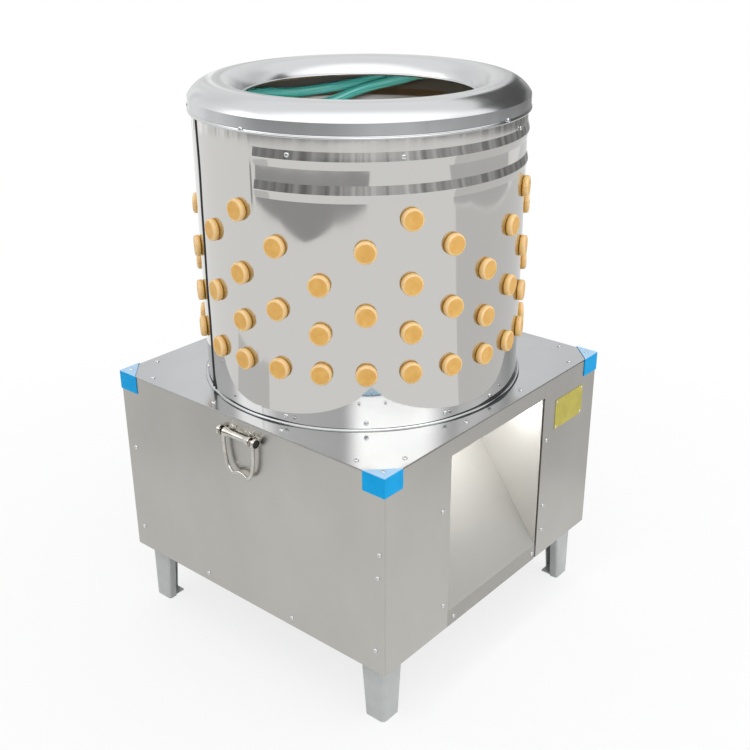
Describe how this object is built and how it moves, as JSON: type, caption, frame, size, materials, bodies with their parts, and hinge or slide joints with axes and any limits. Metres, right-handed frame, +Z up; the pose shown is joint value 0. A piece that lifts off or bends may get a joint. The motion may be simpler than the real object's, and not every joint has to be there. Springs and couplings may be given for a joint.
{
  "type": "poultry plucker",
  "caption": "Drum poultry plucker: a polished drum lined with rubber fingers stands on a square box with a belt-driven finger turntable, a feather chute, drop handles and short legs.",
  "frame": {"origin": "on the floor, under the axis of the drum", "axes": "+Z up along the drum's axis, -Y towards the front handle, +X towards the feather outlet"},
  "size_m": [0.558, 0.585, 0.8925],
  "materials": {
    "satin_stainless": "satin stainless sheet",
    "polished_stainless": "polished stainless sheet",
    "frame_steel": "grey painted steel",
    "leg_paint": "grey hammered paint",
    "guard_plastic": "glossy blue moulding",
    "finger_rubber": "yellow-orange rubber",
    "black_rubber": "black rubber",
    "cast_iron": "machined and painted iron",
    "shaft_steel": "bright turned steel",
    "motor_paint": "blue-grey enamel",
    "handle_chrome": "bright chrome",
    "plate_yellow": "bare yellow plate",
    "switch_plastic": "black moulded plastic",
    "button_green": "green button",
    "button_red": "red button",
    "hose_vinyl": "translucent green vinyl",
    "fitting_brass": "turned brass"
  },
  "bodies": {
    "base": {"top_plate": "satin_stainless", "front_panel": "satin_stainless", "rear_panel": "satin_stainless", "side_panel": "satin_stainless", "discharge_panel": "satin_stainless", "access_panel": "satin_stainless", "feather_pan": "satin_stainless", "chute_slope": "satin_stainless", "chute_side_left": "satin_stainless", "chute_side_right": "satin_stainless", "drum_shell": "polished_stainless", "drum_collar": "polished_stainless", "lid_ring": "polished_stainless", "corner_posts": "frame_steel", "bottom_rails": "frame_steel", "beam_rails": "frame_steel", "upper_beam": "frame_steel", "lower_beam": "frame_steel", "motor_rails": "frame_steel", "motor_plate": "frame_steel", "leg_front_left": "leg_paint", "leg_front_right": "leg_paint", "leg_rear_left": "leg_paint", "leg_rear_right": "leg_paint", "corner_guard_front_left": "guard_plastic", "corner_guard_front_right": "guard_plastic", "corner_guard_rear_left": "guard_plastic", "corner_guard_rear_right": "guard_plastic", "wall_fingers": "finger_rubber", "drive_belt": "black_rubber", "upper_bearing": "cast_iron", "lower_bearing": "cast_iron", "bearing_bolts": "shaft_steel", "motor_bolts": "shaft_steel", "motor_casing": "motor_paint", "motor_fan_cover": "motor_paint", "motor_terminal_box": "motor_paint", "front_handle_bracket": "handle_chrome", "rear_handle_bracket": "handle_chrome", "handle_rivets": "handle_chrome", "name_plate": "plate_yellow", "switch_box": "switch_plastic", "cable_gland": "switch_plastic", "water_hose": "hose_vinyl", "hose_inlet": "fitting_brass", "hose_nozzle": "fitting_brass"},
    "turntable_rotor": {"turntable": "satin_stainless", "plate_fingers": "finger_rubber", "wipers": "black_rubber", "hub": "cast_iron", "main_shaft": "shaft_steel", "cap_nut": "shaft_steel", "driven_pulley": "cast_iron"},
    "motor_rotor": {"motor_shaft": "shaft_steel", "motor_pulley": "cast_iron"},
    "front_handle_bail": {"front_bail": "handle_chrome"},
    "rear_handle_bail": {"rear_bail": "handle_chrome"},
    "start_push_button": {"start_button": "button_green"},
    "stop_push_button": {"stop_button": "button_red"}
  },
  "joints": [
    {"name": "turntable_spin", "type": "hinge", "parent": "base", "child": "turntable_rotor", "pos_m": [0, 0, 0.42], "axis": [0, 0, 1], "continuous": true},
    {"name": "motor_spin", "type": "hinge", "parent": "base", "child": "motor_rotor", "pos_m": [-0.15, 0, 0.155], "axis": [0, 0, 1], "continuous": true},
    {"name": "front_handle_swing", "type": "hinge", "parent": "base", "child": "front_handle_bail", "pos_m": [0.003, -0.2855, 0.407], "axis": [-1, 0, 0], "range_deg": [0, 90]},
    {"name": "rear_handle_swing", "type": "hinge", "parent": "base", "child": "rear_handle_bail", "pos_m": [-0.003, 0.2855, 0.407], "axis": [1, 0, 0], "range_deg": [0, 90]},
    {"name": "start_button_press", "type": "slide", "parent": "base", "child": "start_push_button", "axis": [0, -1, 0], "range_m": [0, 0.003], "stiffness_N_per_m": 400},
    {"name": "stop_button_press", "type": "slide", "parent": "base", "child": "stop_push_button", "axis": [0, -1, 0], "range_m": [0, 0.003], "stiffness_N_per_m": 400}
  ],
  "couplings": [
    {"joint": "motor_spin", "follows": "turntable_spin", "ratio": 3.5714}
  ]
}
